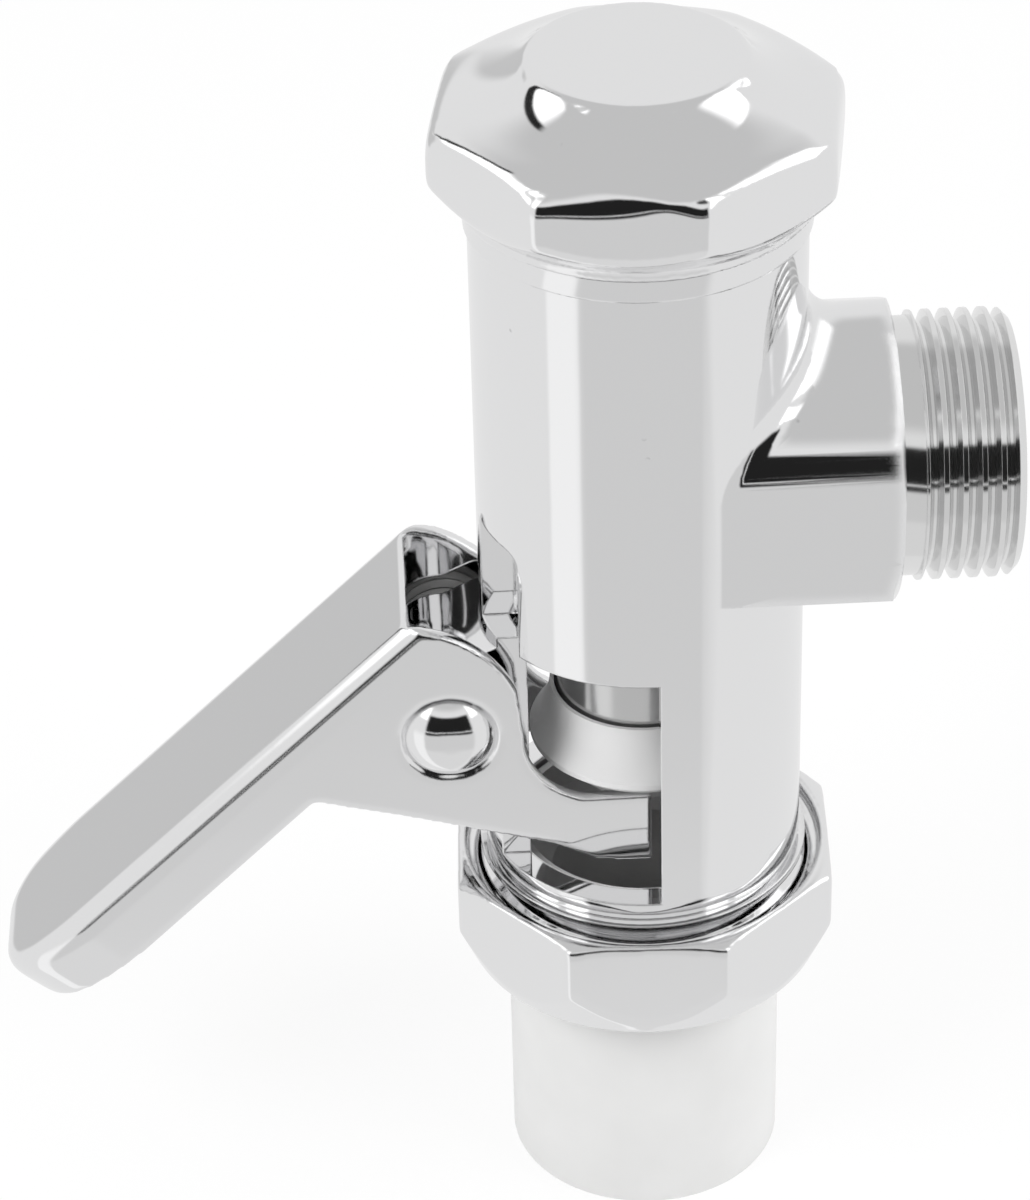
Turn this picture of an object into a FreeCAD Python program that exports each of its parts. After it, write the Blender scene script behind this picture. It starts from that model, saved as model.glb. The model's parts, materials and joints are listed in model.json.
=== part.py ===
import FreeCAD, Part
import math
import os

import Sketcher

# Lever operated flush valve, in millimetres. +Z is up along the tube, +X runs out along the inlet, and
# the front is -Y. The origin is the centre of the open end of the flush pipe. Each sub-part is drawn about
# the point where the inlet axis crosses the tube axis, inlet_height over the origin.

DRIVING = {
    "inlet_height": 84.3,
    "tube_radius": 16.0,
    "cylinder_radius": 13.0,
    "cylinder_floor": 7.0,
    "chamber_radius": 11.2,
    "bore_radius": 13.4,
    "collar_base": 27.2,
    "collar_radius": 16.4,
    "collar_top": 29.5,
    "top_thread_radius": 15.4,
    "top_thread_end": 36.0,
    "web_top": 11.0,
    "web_hole": 9.2,
    "inlet_bore": 9.0,
    "boss_flats": 28.7,
    "boss_corner": 8.0,
    "boss_reach": 24.1,
    "boss_face_radius": 14.6,
    "boss_face_chamfer": 0.9,
    "boss_blend": 3.6,
    "nipple_radius": 12.6,
    "nipple_shoulder": 2.2,
    "nipple_length": 11.7,
    "inlet_thread_radius": 13.1,
    "inlet_thread_depth": 1.16,
    "inlet_thread_pitch": 1.814,
    "inlet_groove_half": 0.75,
    "thread_root_half": 0.15,
    "thread_overcut": 0.2,
    "inlet_first_groove": 3.1,
    "thread_chamfer": 0.9,
    "window_top": 16.0,
    "window_bottom": 42.7,
    "window_edge": 0.8,
    "recess_flat": 12.5,
    "recess_top": 4.2,
    "recess_corner": 1.2,
    "recess_half": 11.0,
    "rib_half": 2.6,
    "lug_half": 6.6,
    "lug_inner": 12.25,
    "lug_base": 37.0,
    "lug_nose": 6.2,
    "outlet_thread_radius": 16.62,
    "outlet_thread_depth": 1.3,
    "outlet_thread_pitch": 2.309,
    "outlet_groove_half": 0.95,
    "outlet_thread_top": 45.0,
    "outlet_first_groove": 46.6,
    "undercut_height": 1.0,
    "undercut_radius": 15.5,
    "body_end": 50.5,
    "pipe_socket_top": 47.0,
    "pipe_socket_radius": 14.3,
    "nut_flats": 38.0,
    "cap_flats": 37.6,
    "cap_corner": 1.2,
    "cap_rim_radius": 18.7,
    "cap_rim_drop": 3.0,
    "cap_rim_round": 3.4,
    "octagon_corner": 20.8,
    "cap_turn": -9.0,
    "cap_gap": 0.2,
    "cap_neck_radius": 17.0,
    "cap_skirt": 31.0,
    "cap_rim": 39.7,
    "cap_top": 43.8,
    "cap_disc_radius": 10.25,
    "cap_cove": 13.4,
    "cap_shoulder_radius": 13.2,
    "cap_shoulder_drop": 1.8,
    "cap_shoulder_curve": 5.0,
    "cap_chamfer_radius": 17.3,
    "cap_chamfer_height": 3.2,
    "cap_gasket_thickness": 0.8,
    "gasket_clearance": 0.15,
    "thread_clearance": 0.1,
    "cap_ceiling": 40.5,
    "cap_cavity_radius": 12.6,
    "seat_rim": 8.6,
    "seat_flange_top": 9.3,
    "seat_flange_radius": 10.8,
    "seat_rim_inner": 7.2,
    "seat_rim_outer": 8.4,
    "nozzle_bore": 6.6,
    "nozzle_radius": 8.5,
    "nozzle_end": 27.0,
    "seat_gasket_thickness": 0.5,
    "fit_clearance": 0.05,
    "seat_gap": 0.1,
    "seat_washer_radius": 9.3,
    "seat_washer_thickness": 2.4,
    "piston_foot": 2.0,
    "piston_neck_radius": 5.6,
    "piston_head_base": 9.0,
    "piston_head_radius": 12.5,
    "piston_head": 3.0,
    "cup_radius": 12.95,
    "cup_height": 3.5,
    "cup_floor": 1.4,
    "cup_lip": 1.0,
    "retainer_radius": 11.4,
    "retainer_height": 2.2,
    "core_radius": 9.4,
    "core_top": 17.8,
    "pilot_chamber_radius": 6.0,
    "pilot_chamber_floor": 9.8,
    "pilot_seat": 10.6,
    "pilot_seat_radius": 3.6,
    "relief_bore": 2.4,
    "stud_radius": 4.5,
    "stud_top": 2.6,
    "cage_flange": 1.4,
    "cage_flange_gap": 0.3,
    "cage_wing_gap": 0.4,
    "cage_end": 22.0,
    "cage_hub": 3.6,
    "cage_wing": 1.6,
    "bleed_place": 7.7,
    "bleed_radius": 0.9,
    "bleed_bore": 0.3,
    "bleed_depth": 3.0,
    "bleed_stand": 0.8,
    "pilot_gap": 0.1,
    "pilot_seal_thickness": 1.0,
    "pilot_seal_radius": 4.2,
    "pilot_head_radius": 4.5,
    "pilot_head": 2.4,
    "stem_radius": 1.5,
    "stem_end": 33.9,
    "stem_gap": 0.3,
    "pilot_spring_radius": 3.6,
    "pilot_spring_wire": 0.7,
    "pilot_spring_turns": 5,
    "spring_cap_radius": 6.6,
    "spring_cap_bore": 4.9,
    "spring_cap_stud": 1.5,
    "spring_cap_top": 25.5,
    "spring_cap_plate": 1.4,
    "spring_cap_vent": 1.4,
    "closing_spring_radius": 10.4,
    "closing_spring_wire": 1.1,
    "closing_spring_turns": 7,
    "spring_gap": 0.1,
    "sleeve_top": 26.1,
    "sleeve_top_radius": 9.2,
    "sleeve_bore": 8.8,
    "sleeve_flare": 31.4,
    "sleeve_flare_radius": 11.3,
    "sleeve_flare_curve": 9.0,
    "sleeve_edge": 0.6,
    "sleeve_floor": 32.2,
    "sleeve_bottom": 33.3,
    "sleeve_bottom_radius": 9.9,
    "sleeve_tube_radius": 7.0,
    "sleeve_tube_bore": 5.6,
    "sleeve_tube_end": 36.2,
    "sleeve_hub": 2.2,
    "sleeve_bridge": 1.6,
    "pivot_reach": 19.5,
    "pivot_drop": 25.74,
    "lever_half": 9.8,
    "lever_sheet": 1.6,
    "web_end": 23.2,
    "web_end_drop": 12.63,
    "tip_low_reach": 62.0,
    "tip_nose": 5.1,
    "tip_drop": 55.56,
    "tip_depth": 4.3,
    "tip_wall": 2.3,
    "hollow_depth": 8.0,
    "hollow_top": 5.0,
    "slope_cosine": 0.707,
    "tip_round": 6.0,
    "ridge_round": 2.4,
    "grip_reach": 51.5,
    "grip_drop": 51.0,
    "crook_reach": 33.12,
    "crook_drop": 32.8,
    "cheek_reach": 22.8,
    "cheek_drop": 35.5,
    "arm_reach": 9.4,
    "arm_drop": 39.44,
    "heel_reach": 5.0,
    "heel_drop": 41.64,
    "fork_reach": 0.3,
    "fork_bottom": 42.0,
    "fork_top": 33.65,
    "valley_reach": 6.3,
    "valley_drop": 33.85,
    "neck_reach": 12.2,
    "neck_drop": 26.44,
    "neck_round": 7.5,
    "shoulder_reach": 12.75,
    "shoulder_drop": 20.64,
    "shoulder_round": 12.6,
    "rivet_radius": 2.5,
    "rivet_play": 0.1,
    "rivet_head_radius": 4.4,
    "rivet_head_height": 2.2,
    "rivet_rim": 0.4,
    "rivet_dome": 5.2,
    "rivet_flat": 0.6,
    "rivet_seat_radius": 4.8,
    "rivet_seat_depth": 0.5,
    "pivot_washer_radius": 4.6,
    "pivot_washer_gap": 0.1,
    "insert_top": 43.5,
    "insert_radius": 13.1,
    "insert_mouth": 12.3,
    "insert_flange_radius": 14.1,
    "insert_flange": 0.9,
    "insert_throat": 9.4,
    "insert_neck": 50.4,
    "insert_shoulder": 11.8,
    "insert_wall": 1.1,
    "insert_end": 60.0,
    "pipe_radius": 14.05,
    "pipe_wall": 2.0,
    "pipe_edge": 0.4,
    "pipe_step": 0.35,
    "pipe_seal_height": 2.4,
    "pipe_seal_radius": 16.3,
    "slip_ring_height": 1.4,
    "slip_ring_radius": 16.2,
    "ring_gap": 0.05,
    "nut_turn": -2.3,
    "nut_top": 45.8,
    "nut_bottom": 57.6,
    "nut_hole": 14.4,
    "nut_mouth_radius": 18.2,
    "nut_mouth_depth": 1.6,
    "nut_top_radius": 19.2,
    "nut_top_chamfer": 0.8,
    "nut_bottom_radius": 18.2,
    "nut_bottom_chamfer": 6.0,
    "nut_clearance": 0.3,
    "nut_play": 0.1,
}

doc = FreeCAD.newDocument("flush_valve")
sheet = doc.addObject("Spreadsheet::Sheet", "Sizes")
for row, (alias, number) in enumerate(DRIVING.items(), start=1):
    sheet.set(f"A{row}", str(number))
    sheet.setAlias(f"A{row}", alias)
doc.recompute()
size = {alias: float(sheet.get(alias)) for alias in DRIVING}

parts = []


# A length is written as a sum of sheet names and products, such as "collar_top + cap_gap" or
# "- cage_wing / 2".
def value(text):
    terms, sign, step = [], 1, ""
    for word in text.split():
        if word in ("+", "-"):
            sign = 1 if word == "+" else -1
        elif word in ("*", "/"):
            step = word
        else:
            number = size[word] if word in size else float(word)
            if step:
                terms[-1] *= number if step == "*" else 1 / number
            else:
                terms.append(sign * number)
            sign, step = 1, ""
    return sum(terms)


def bound(text):
    return " ".join(f"Sizes.{word}" if word in size else word for word in text.split())


# Placement of a sub-part: its own zero lies on the inlet axis unless another place is given.
def place(item, across="0", up="inlet_height", turn=None):
    item.setExpression("Placement.Base.x", bound(across))
    item.setExpression("Placement.Base.z", bound(up))
    if turn:
        item.Placement.Rotation = FreeCAD.Rotation(FreeCAD.Vector(0, 0, 1), size[turn])
        item.setExpression("Placement.Rotation.Angle", bound(turn))
    parts.append(item)


def new_body(label, across="0", up="inlet_height", turn=None):
    body = doc.addObject("PartDesign::Body", label)
    body.Label = label
    place(body, across, up, turn)
    return body


def new_sketch(body, plane, offset=None):
    sketch = body.newObject("Sketcher::SketchObject", f"{body.Label}_outline")
    origin = [feature for feature in body.Origin.OriginFeatures if feature.Role == plane]
    sketch.AttachmentSupport = [(origin[0], "")]
    sketch.MapMode = "FlatFace"
    if offset:
        sketch.setExpression("AttachmentOffset.Base.z", bound(offset))
    return sketch


# Pins one point of a sketch's geometry to the sheet, across and up from the sketch's zero.
def pin(sketch, edge, end, across, up):
    for kind, axis, text in (("DistanceX", -2, across), ("DistanceY", -1, up)):
        if text == "0":
            sketch.addConstraint(Sketcher.Constraint("PointOnObject", edge, end, axis))
            continue
        index = sketch.addConstraint(Sketcher.Constraint(kind, -1, 1, edge, end, value(text)))
        sketch.setExpression(f"Constraints[{index}]", bound(text))


def pin_radius(sketch, edge, text):
    index = sketch.addConstraint(Sketcher.Constraint("Radius", edge, value(text)))
    sketch.setExpression(f"Constraints[{index}]", bound(text))


def point(corner):
    return FreeCAD.Vector(value(corner[0]), value(corner[1]), 0)


# A closed outline. A corner is (across, up); a third and fourth entry make the edge that leaves it an arc:
# its radius, and the side of the edge that the arc bulges to, "left" or "right" of the way it runs.
def outline(sketch, corners):
    first = sketch.GeometryCount
    starts, ends = [], []
    for here, there in zip(corners, corners[1:] + corners[:1]):
        start, end = point(here), point(there)
        if len(here) == 2:
            sketch.addGeometry(Part.LineSegment(start, end))
            starts.append(1)
        else:
            chord = end - start
            side = FreeCAD.Vector(chord.y, -chord.x, 0).normalize() * (1 if here[3] == "right" else -1)
            radius = value(here[2])
            rise = radius - math.sqrt(max(0.0, radius ** 2 - chord.Length ** 2 / 4))
            arc = sketch.addGeometry(Part.Arc(start, (start + end) * 0.5 + side * rise, end))
            starts.append(1 if sketch.getPoint(arc, 1).distanceToPoint(start) < 1e-6 else 2)
        ends.append(3 - starts[-1])
    count = len(corners)
    for step, corner in enumerate(corners):
        following = (step + 1) % count
        sketch.addConstraint(Sketcher.Constraint(
            "Coincident", first + step, ends[step], first + following, starts[following]))
        pin(sketch, first + step, starts[step], corner[0], corner[1])
        if len(corner) > 2:
            pin_radius(sketch, first + step, corner[2])
    return sketch


def rectangle(sketch, left, bottom, right, top):
    return outline(sketch, [(left, bottom), (right, bottom), (right, top), (left, top)])


def disc(sketch, across, up, radius):
    centre = FreeCAD.Vector(value(across), value(up), 0)
    edge = sketch.addGeometry(Part.Circle(centre, FreeCAD.Vector(0, 0, 1), value(radius)))
    pin(sketch, edge, 3, across, up)
    pin_radius(sketch, edge, radius)
    return sketch


# A regular polygon about the sketch's zero. Its last flat lies "Horizontal" below or "Vertical" beside it.
def polygon(sketch, sides, flats, lie):
    reach = size[flats] / 2 / math.cos(math.pi / sides)
    begin = -math.pi / 2 if lie == "Horizontal" else 0.0
    angles = [begin + math.pi / sides * (2 * step + 1) for step in range(sides)]
    corners = [FreeCAD.Vector(reach * math.cos(angle), reach * math.sin(angle), 0) for angle in angles]
    for here, there in zip(corners, corners[1:] + corners[:1]):
        sketch.addGeometry(Part.LineSegment(here, there))
    circle = sketch.addGeometry(Part.Circle(FreeCAD.Vector(), FreeCAD.Vector(0, 0, 1), reach), True)
    sketch.addConstraint(Sketcher.Constraint("Coincident", circle, 3, -1, 1))
    for edge in range(sides):
        sketch.addConstraint(Sketcher.Constraint("Coincident", edge, 2, (edge + 1) % sides, 1))
        sketch.addConstraint(Sketcher.Constraint("PointOnObject", edge, 1, circle))
        if edge:
            sketch.addConstraint(Sketcher.Constraint("Equal", 0, edge))
    sketch.addConstraint(Sketcher.Constraint(lie, sides - 1))
    index = sketch.addConstraint(Sketcher.Constraint("Radius", circle, reach))
    sketch.setExpression(f"Constraints[{index}]", f"Sizes.{flats} / 2 / cos(180 deg / {sides})")
    return sketch


def revolve(body, corners, axis="V_Axis", plane="XZ_Plane", kind="PartDesign::Revolution"):
    sketch = outline(new_sketch(body, plane), corners)
    turned = body.newObject(kind, f"{body.Label}_turned")
    turned.Profile = sketch
    turned.ReferenceAxis = (sketch, [axis])
    turned.Angle = 360
    return turned


def groove(body, corners, axis="V_Axis", plane="XZ_Plane"):
    return revolve(body, corners, axis, plane, "PartDesign::Groove")


def pad(body, sketch, length, sides="One side", kind="PartDesign::Pad", back=False):
    feature = body.newObject(kind, f"{body.Label}_extruded")
    feature.Profile = sketch
    feature.SideType = sides
    feature.Reversed = back
    feature.setExpression("Length", bound(length))
    return feature


def pocket(body, sketch, length, sides="One side", back=False):
    return pad(body, sketch, length, sides, "PartDesign::Pocket", back)


def round_edges(body, radius, test):
    doc.recompute()
    solid = body.Tip
    edges = [f"Edge{n}" for n, edge in enumerate(solid.Shape.Edges, start=1) if test(edge)]
    feature = body.newObject("PartDesign::Fillet", f"{body.Label}_rounded")
    feature.Base = (solid, edges)
    feature.setExpression("Radius", bound(radius))
    body.Tip = feature
    return feature


# Rings of a thread: one groove cut about the axis, then repeated along it at the pitch.
def thread_rings(body, cut, axis, pitch, copies, back=False):
    doc.recompute()
    pattern = body.newObject("PartDesign::LinearPattern", f"{body.Label}_thread")
    pattern.Originals = [cut]
    direction = [feature for feature in body.Origin.OriginFeatures if feature.Role == axis]
    pattern.Direction = (direction[0], [""])
    pattern.Mode = "Spacing"
    pattern.Reversed = back
    pattern.setExpression("Offset", bound(pitch))
    pattern.setExpression("Occurrences", copies)
    body.Tip = pattern
    return pattern


# Copies of a feature evenly round the upright axis.
def around(body, features, copies):
    pattern = body.newObject("PartDesign::PolarPattern", f"{body.Label}_copies")
    pattern.Originals = features
    axis = [feature for feature in body.Origin.OriginFeatures if feature.Role == "Z_Axis"]
    pattern.Axis = (axis[0], [""])
    pattern.Angle = 360
    pattern.Occurrences = copies
    body.Tip = pattern
    return pattern


def ends_at(edge, test):
    return all(test(vertex.Point) for vertex in edge.Vertexes)


def upright(edge):
    return edge.BoundBox.ZLength > 1 and edge.BoundBox.DiagonalLength < edge.BoundBox.ZLength + 0.01


def valve_body():
    body = new_body("valve_body")
    pad(body, polygon(new_sketch(body, "YZ_Plane"), 6, "boss_flats", "Vertical"), "boss_reach")
    round_edges(body, "boss_corner", boss_top_edge)
    revolve(body, [
        ("0", "- body_end"),
        ("outlet_thread_radius", "- body_end"),
        ("outlet_thread_radius", "- outlet_thread_top"),
        ("undercut_radius", "- outlet_thread_top"),
        ("undercut_radius", "- outlet_thread_top + undercut_height"),
        ("tube_radius", "- outlet_thread_top + undercut_height"),
        ("tube_radius", "collar_base"),
        ("collar_radius", "collar_base"),
        ("collar_radius", "collar_top"),
        ("top_thread_radius", "collar_top"),
        ("top_thread_radius", "top_thread_end"),
        ("0", "top_thread_end"),
    ])
    round_edges(body, "boss_blend", lambda edge: ends_at(edge, boss_root_edge))
    inlet_nipple(body)
    body_bores(body)
    side_windows(body)
    lever_lug(body)
    return body


# The boss is polished round and blended into the tube over its top, and keeps sharp edges below.
def boss_top_edge(edge):
    return abs(edge.Length - size["boss_reach"]) < 1e-6 and edge.CenterOfMass.z > 0


def boss_root_edge(spot):
    on_tube = abs(math.hypot(spot.x, spot.y) - size["tube_radius"]) < 1e-4
    return on_tube and spot.x > 1 and -size["boss_flats"] / 3 < spot.z < size["tube_radius"] + 1


# The inlet's turned end: a chamfered boss face, then a shoulder and the thread of the union that screws on.
def inlet_nipple(body):
    groove(body, [
        ("boss_reach", "boss_face_radius"),
        ("boss_reach", "boss_face_radius + boss_corner"),
        ("boss_reach - boss_face_chamfer - boss_face_chamfer", "boss_face_radius + boss_corner"),
        ("boss_reach - boss_face_chamfer", "tube_radius"),
    ], "H_Axis")
    revolve(body, [
        ("boss_reach - boss_blend", "0"),
        ("boss_reach + nipple_length", "0"),
        ("boss_reach + nipple_length", "inlet_thread_radius - thread_chamfer"),
        ("boss_reach + nipple_length - thread_chamfer", "inlet_thread_radius"),
        ("boss_reach + nipple_shoulder", "inlet_thread_radius"),
        ("boss_reach + nipple_shoulder", "nipple_radius"),
        ("boss_reach - boss_blend", "nipple_radius"),
    ], "H_Axis")
    rim = "inlet_thread_radius + thread_overcut"
    root = "inlet_thread_radius - inlet_thread_depth"
    ring = groove(body, [
        ("boss_reach + inlet_first_groove - inlet_groove_half", rim),
        ("boss_reach + inlet_first_groove - thread_root_half", root),
        ("boss_reach + inlet_first_groove + thread_root_half", root),
        ("boss_reach + inlet_first_groove + inlet_groove_half", rim),
    ], "H_Axis")
    copies = "floor((Sizes.nipple_length - Sizes.inlet_first_groove) / Sizes.inlet_thread_pitch) + 1"
    thread_rings(body, ring, "X_Axis", "inlet_thread_pitch", copies)


# The cylinder, the chamber round the seat, the web that holds the seat, and the bore that the flush falls
# through.
def body_bores(body):
    groove(body, [
        ("0", "top_thread_end"),
        ("cylinder_radius", "top_thread_end"),
        ("cylinder_radius", "cylinder_floor"),
        ("chamber_radius", "cylinder_floor"),
        ("chamber_radius", "- web_top"),
        ("web_hole", "- web_top"),
        ("web_hole", "- window_top"),
        ("bore_radius", "- window_top"),
        ("bore_radius", "- pipe_socket_top"),
        ("pipe_socket_radius", "- pipe_socket_top"),
        ("pipe_socket_radius", "- body_end"),
        ("0", "- body_end"),
    ])
    inlet = disc(new_sketch(body, "YZ_Plane"), "0", "0", "inlet_bore")
    pocket(body, inlet, "boss_reach + nipple_length", back=True)


# Both sides of the tube are cut open for the lever's fork, and milled flat above it each side of a rib.
def side_windows(body):
    for side, back in (("", True), ("- ", False)):
        window = rectangle(new_sketch(body, "XZ_Plane", side + "lug_half"),
                           "- tube_radius - recess_corner", "- window_bottom", "window_edge", "- window_top")
        pocket(body, window, "tube_radius", back=back)
        recess = outline(new_sketch(body, "XZ_Plane", side + "rib_half"), [
            ("- recess_flat", "- window_top"),
            ("- recess_flat", "- recess_top - recess_corner", "recess_corner", "right"),
            ("- recess_flat - recess_corner", "- recess_top"),
            ("- tube_radius - recess_corner", "- recess_top"),
            ("- tube_radius - recess_corner", "- window_top"),
        ])
        pocket(body, recess, "recess_half - rib_half", back=back)


# The tongue of tube wall between the windows carries the lug that the lever swings on.
def lever_lug(body):
    lug = outline(new_sketch(body, "XZ_Plane"), [
        ("- lug_inner", "- window_top"),
        ("- pivot_reach", "- pivot_drop + lug_nose", "lug_nose", "right"),
        ("- pivot_reach - lug_nose", "- pivot_drop", "lug_nose", "right"),
        ("- pivot_reach", "- pivot_drop - lug_nose"),
        ("- lug_inner", "- lug_base"),
    ])
    pad(body, lug, "lug_half * 2", "Symmetric")
    hole = disc(new_sketch(body, "XZ_Plane"), "- pivot_reach", "- pivot_drop", "rivet_radius + rivet_play")
    pocket(body, hole, "lug_half * 2", "Symmetric")
    thread = "outlet_thread_radius + thread_overcut"
    root = "outlet_thread_radius - outlet_thread_depth"
    ring = groove(body, [
        (thread, "- outlet_first_groove - outlet_groove_half"),
        (root, "- outlet_first_groove - thread_root_half"),
        (root, "- outlet_first_groove + thread_root_half"),
        (thread, "- outlet_first_groove + outlet_groove_half"),
    ])
    copies = "floor((Sizes.body_end - Sizes.outlet_first_groove) / Sizes.outlet_thread_pitch) + 1"
    thread_rings(body, ring, "Z_Axis", "outlet_thread_pitch", copies, back=True)


def cap():
    body = new_body("cap", turn="cap_turn")
    octagon = polygon(new_sketch(body, "XY_Plane", "cap_skirt"), 8, "cap_flats", "Horizontal")
    pad(body, octagon, "cap_top - cap_skirt")
    round_edges(body, "cap_corner", upright)
    side = outline(new_sketch(body, "YZ_Plane"), [
        ("octagon_corner", "cap_rim"),
        ("octagon_corner", "cap_top + cap_gap"),
        ("cap_disc_radius", "cap_top + cap_gap"),
        ("cap_disc_radius", "cap_top", "cap_cove", "right"),
        ("cap_flats / 2 + cap_gap", "cap_rim"),
    ])
    cove = pocket(body, side, "octagon_corner * 4", "Symmetric")
    around(body, [cove], 8)
    groove(body, [
        ("cap_disc_radius", "cap_top", "cap_shoulder_curve", "left"),
        ("cap_shoulder_radius", "cap_top - cap_shoulder_drop"),
        ("cap_shoulder_radius", "cap_top + cap_gap"),
        ("cap_disc_radius", "cap_top + cap_gap"),
    ])
    groove(body, [
        ("cap_rim_radius", "cap_rim", "cap_rim_round", "left"),
        ("octagon_corner", "cap_rim - cap_rim_drop"),
        ("octagon_corner", "cap_rim"),
    ])
    groove(body, [
        ("cap_chamfer_radius", "cap_skirt"),
        ("octagon_corner + cap_gap", "cap_skirt + cap_chamfer_height"),
        ("octagon_corner + cap_gap", "cap_skirt"),
    ])
    revolve(body, [
        ("0", "collar_top + cap_gap"),
        ("cap_neck_radius", "collar_top + cap_gap"),
        ("cap_neck_radius", "cap_skirt + cap_gap"),
        ("0", "cap_skirt + cap_gap"),
    ])
    groove(body, [
        ("0", "collar_top + cap_gap"),
        ("top_thread_radius + thread_clearance", "collar_top + cap_gap"),
        ("top_thread_radius + thread_clearance", "top_thread_end + cap_gasket_thickness"),
        ("cap_cavity_radius", "top_thread_end + cap_gasket_thickness"),
        ("cap_cavity_radius", "cap_ceiling"),
        ("0", "cap_ceiling"),
    ])


# A plain ring, turned: the shape of every washer, gasket and seal.
def ring(label, inner, outer, bottom, top):
    revolve(new_body(label), [(inner, bottom), (outer, bottom), (outer, top), (inner, top)])


def cap_gasket():
    ring("cap_gasket", "cylinder_radius + gasket_clearance", "top_thread_radius",
         "top_thread_end", "top_thread_end + cap_gasket_thickness")


def seat_gasket():
    ring("seat_gasket", "web_hole", "seat_flange_radius", "- web_top", "- web_top + seat_gasket_thickness")


# The brass nozzle screwed down into the web: a flange and seat rim on top, and the outlet tube under it.
def seat_nozzle():
    revolve(new_body("seat_nozzle"), [
        ("nozzle_bore", "- nozzle_end"),
        ("nozzle_radius", "- nozzle_end"),
        ("nozzle_radius", "- window_top"),
        ("web_hole - fit_clearance", "- window_top"),
        ("web_hole - fit_clearance", "- web_top + seat_gasket_thickness"),
        ("seat_flange_radius", "- web_top + seat_gasket_thickness"),
        ("seat_flange_radius", "- seat_flange_top"),
        ("seat_rim_outer", "- seat_flange_top"),
        ("seat_rim_outer", "- seat_rim"),
        ("seat_rim_inner", "- seat_rim"),
        ("nozzle_bore", "- seat_flange_top"),
    ])


WASHER_BOTTOM = "- seat_rim + seat_gap"
WASHER_TOP = "- seat_rim + seat_gap + seat_washer_thickness"
HEAD_TOP = "piston_head_base + piston_head"
BLEED_TOP = "core_top + bleed_stand"
SEAL_TOP = "pilot_seat + pilot_gap + pilot_seal_thickness"


# The brass piston: a foot over the seat, a neck, the head that carries the cup, and the pilot's chamber.
def main_piston():
    body = new_body("main_piston")
    revolve(body, [
        ("stud_radius + fit_clearance", WASHER_TOP),
        ("seat_washer_radius", WASHER_TOP),
        ("seat_washer_radius", WASHER_TOP + " + piston_foot"),
        ("piston_neck_radius", WASHER_TOP + " + piston_foot"),
        ("piston_neck_radius", "piston_head_base"),
        ("piston_head_radius", "piston_head_base"),
        ("piston_head_radius", HEAD_TOP),
        ("core_radius", HEAD_TOP),
        ("core_radius", "core_top"),
        ("pilot_chamber_radius", "core_top"),
        ("pilot_chamber_radius", "pilot_chamber_floor"),
        ("pilot_seat_radius", "pilot_chamber_floor"),
        ("pilot_seat_radius", "pilot_seat"),
        ("relief_bore", "pilot_seat"),
        ("relief_bore", "- stud_top"),
        ("stud_radius + fit_clearance", "- stud_top"),
    ])
    bleed = disc(new_sketch(body, "XY_Plane", "piston_head_base"), "bleed_place", "0", "bleed_radius")
    pocket(body, bleed, "core_top - piston_head_base", back=True)


def seat_washer():
    ring("seat_washer", "stud_radius", "seat_washer_radius", WASHER_BOTTOM, WASHER_TOP)


# The stud that clamps the washer, with four wings that keep the piston straight in the nozzle.
def guide_cage():
    body = new_body("guide_cage")
    revolve(body, [
        ("0", "- cage_end"),
        ("cage_hub", "- cage_end"),
        ("cage_hub", WASHER_BOTTOM + " - cage_flange"),
        ("nozzle_bore - cage_flange_gap", WASHER_BOTTOM + " - cage_flange"),
        ("nozzle_bore - cage_flange_gap", WASHER_BOTTOM),
        ("stud_radius", WASHER_BOTTOM),
        ("stud_radius", "- stud_top"),
        ("0", "- stud_top"),
    ])
    wing = rectangle(new_sketch(body, "XY_Plane", "- cage_end"),
                     "0", "- cage_wing / 2", "nozzle_bore - cage_wing_gap", "cage_wing / 2")
    blade = pad(body, wing, "cage_end - seat_rim + seat_gap - cage_flange")
    around(body, [blade], 4)
    groove(body, [
        ("0", "- cage_end"),
        ("relief_bore", "- cage_end"),
        ("relief_bore", "- stud_top"),
        ("0", "- stud_top"),
    ])


# The cup seal: a flat floor with a lip that stands against the cylinder wall.
def piston_cup():
    revolve(new_body("piston_cup"), [
        ("core_radius", HEAD_TOP),
        ("cup_radius - cup_lip", HEAD_TOP),
        ("cup_radius", HEAD_TOP + " + cup_floor"),
        ("cup_radius", HEAD_TOP + " + cup_height"),
        ("cup_radius - cup_lip", HEAD_TOP + " + cup_floor + cup_lip"),
        ("cup_radius - cup_lip", HEAD_TOP + " + cup_floor"),
        ("core_radius", HEAD_TOP + " + cup_floor"),
    ])


def cup_retainer():
    ring("cup_retainer", "core_radius", "retainer_radius",
         HEAD_TOP + " + cup_floor", HEAD_TOP + " + cup_floor + retainer_height")


# The bleed jet, whose tiny bore lets the cylinder refill slowly above the piston.
def bleed_jet():
    body = new_body("bleed_jet", across="bleed_place")
    revolve(body, [
        ("bleed_bore", "core_top - bleed_depth"),
        ("bleed_radius", "core_top - bleed_depth"),
        ("bleed_radius", BLEED_TOP),
        ("bleed_bore", BLEED_TOP),
    ])


# The pilot valve: a head in the piston's chamber, and a long stem down through the cage to the sleeve.
def pilot_valve():
    revolve(new_body("pilot_valve"), [
        ("0", "- stem_end"),
        ("stem_radius", "- stem_end"),
        ("stem_radius", SEAL_TOP),
        ("pilot_head_radius", SEAL_TOP),
        ("pilot_head_radius", SEAL_TOP + " + pilot_head"),
        ("0", SEAL_TOP + " + pilot_head"),
    ])


def pilot_seal():
    ring("pilot_seal", "stem_radius", "pilot_seal_radius", "pilot_seat + pilot_gap", SEAL_TOP)


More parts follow.
